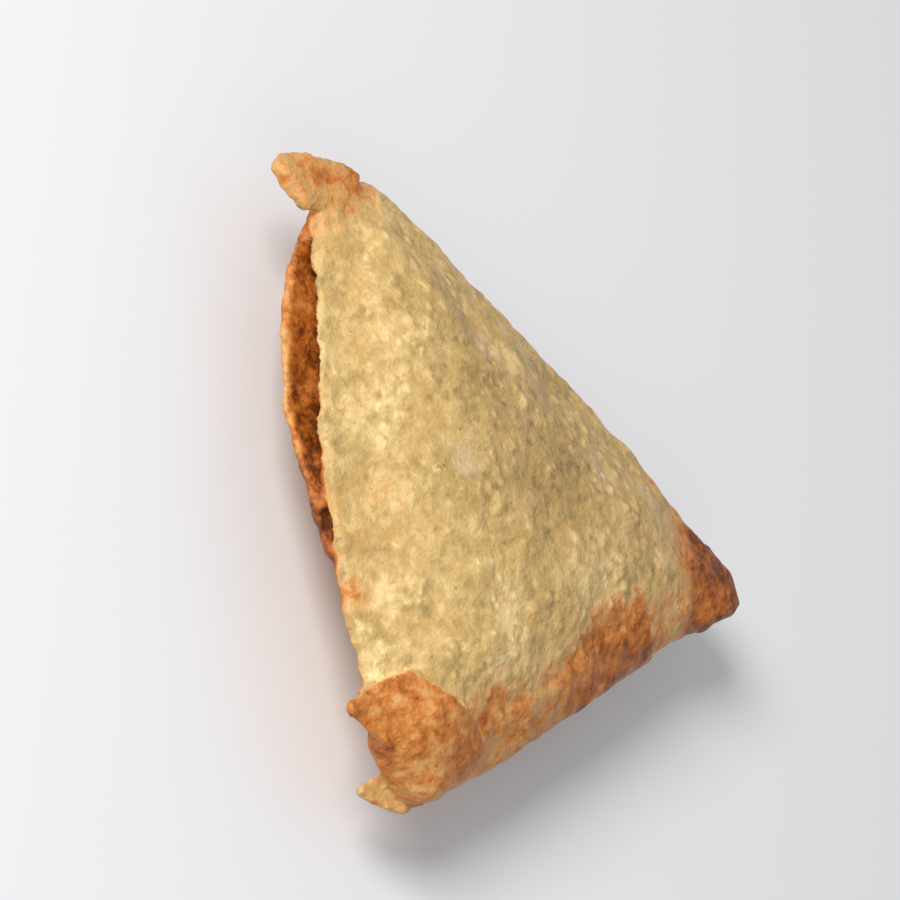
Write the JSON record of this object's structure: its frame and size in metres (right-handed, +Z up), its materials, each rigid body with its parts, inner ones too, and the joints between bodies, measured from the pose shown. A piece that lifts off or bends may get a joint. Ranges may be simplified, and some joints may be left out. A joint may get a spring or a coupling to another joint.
{
  "type": "samosa",
  "caption": "Flat three-cornered fried parcel of thin folded pastry round a filling, with an open-lipped edge and browned folded corners.",
  "frame": {"origin": "middle of the footprint box, at the flat spot the parcel rests on", "axes": "+Z up through the parcel's thickness, out of its broad front sheet; +Y from the base edge to the tip; the edge with the open lips is on the -X side"},
  "size_m": [0.076, 0.0748, 0.0199],
  "materials": {
    "fried_pastry": "blistered fried pastry crust, golden with browned edges and corners, slightly oily"
  },
  "bodies": {
    "root": {"samosa": "fried_pastry"}
  },
  "joints": []
}
